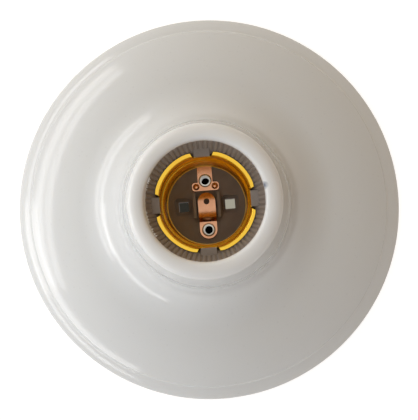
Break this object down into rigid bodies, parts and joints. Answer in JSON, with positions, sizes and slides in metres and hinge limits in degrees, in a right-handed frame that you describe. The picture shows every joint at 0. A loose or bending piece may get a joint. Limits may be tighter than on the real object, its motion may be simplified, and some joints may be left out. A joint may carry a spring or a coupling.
{
  "type": "lamp holder",
  "caption": "Round ceiling lamp holder: an ogee cover plate sweeping up to a collar round an Edison-screw socket with a sprung centre contact and screw terminals.",
  "frame": {"origin": "centre of the rim's lower plane, on the socket axis", "axes": "+Z along the socket axis, out of the lamp opening; +Y towards the shell eyelet; +X towards a fixing slot"},
  "size_m": [0.13, 0.13, 0.055],
  "materials": {
    "white_moulding": "glossy moulded white",
    "socket_moulding": "dull grey-brown moulded",
    "shell_brass": "bright drawn brass",
    "contact_copper": "copper-toned strip",
    "eyelet_plate": "plated rivet",
    "terminal_brass": "stamped brass",
    "clamp_steel": "plated steel",
    "screw_steel": "plated steel"
  },
  "bodies": {
    "base": {"cover": "white_moulding", "insulator": "socket_moulding", "screw_shell": "shell_brass", "shell_contact": "contact_copper", "shell_eyelet": "eyelet_plate", "centre_eyelet": "eyelet_plate", "shell_terminal": "terminal_brass", "centre_terminal": "terminal_brass", "right_insulator_screw": "screw_steel", "left_insulator_screw": "screw_steel"},
    "centre_contact": {"centre_contact": "contact_copper"},
    "shell_clamp": {"shell_wire_clamp": "clamp_steel"},
    "shell_screw": {"shell_terminal_screw": "screw_steel"},
    "centre_clamp": {"centre_wire_clamp": "clamp_steel"},
    "centre_screw": {"centre_terminal_screw": "screw_steel"}
  },
  "joints": [
    {"name": "centre_contact_press", "type": "hinge", "parent": "base", "child": "centre_contact", "pos_m": [0, -0.0077, 0.025], "axis": [-1, 0, 0], "range_deg": [0, 6], "stiffness_Nm_per_rad": 0.2},
    {"name": "shell_clamp_lift", "type": "slide", "parent": "base", "child": "shell_clamp", "axis": [0, 0, -1], "range_m": [0, 0.0018]},
    {"name": "shell_screw_turn", "type": "hinge", "parent": "shell_clamp", "child": "shell_screw", "pos_m": [0, 0.013, 0.0177], "axis": [0, 0, -1], "range_deg": [0, 1080]},
    {"name": "centre_clamp_lift", "type": "slide", "parent": "base", "child": "centre_clamp", "axis": [0, 0, -1], "range_m": [0, 0.0018]},
    {"name": "centre_screw_turn", "type": "hinge", "parent": "centre_clamp", "child": "centre_screw", "pos_m": [0, -0.013, 0.0177], "axis": [0, 0, -1], "range_deg": [0, 1080]}
  ],
  "couplings": [
    {"joint": "shell_screw_turn", "follows": "shell_clamp_lift", "rad_per_m": 10472},
    {"joint": "centre_screw_turn", "follows": "centre_clamp_lift", "rad_per_m": 10472}
  ]
}
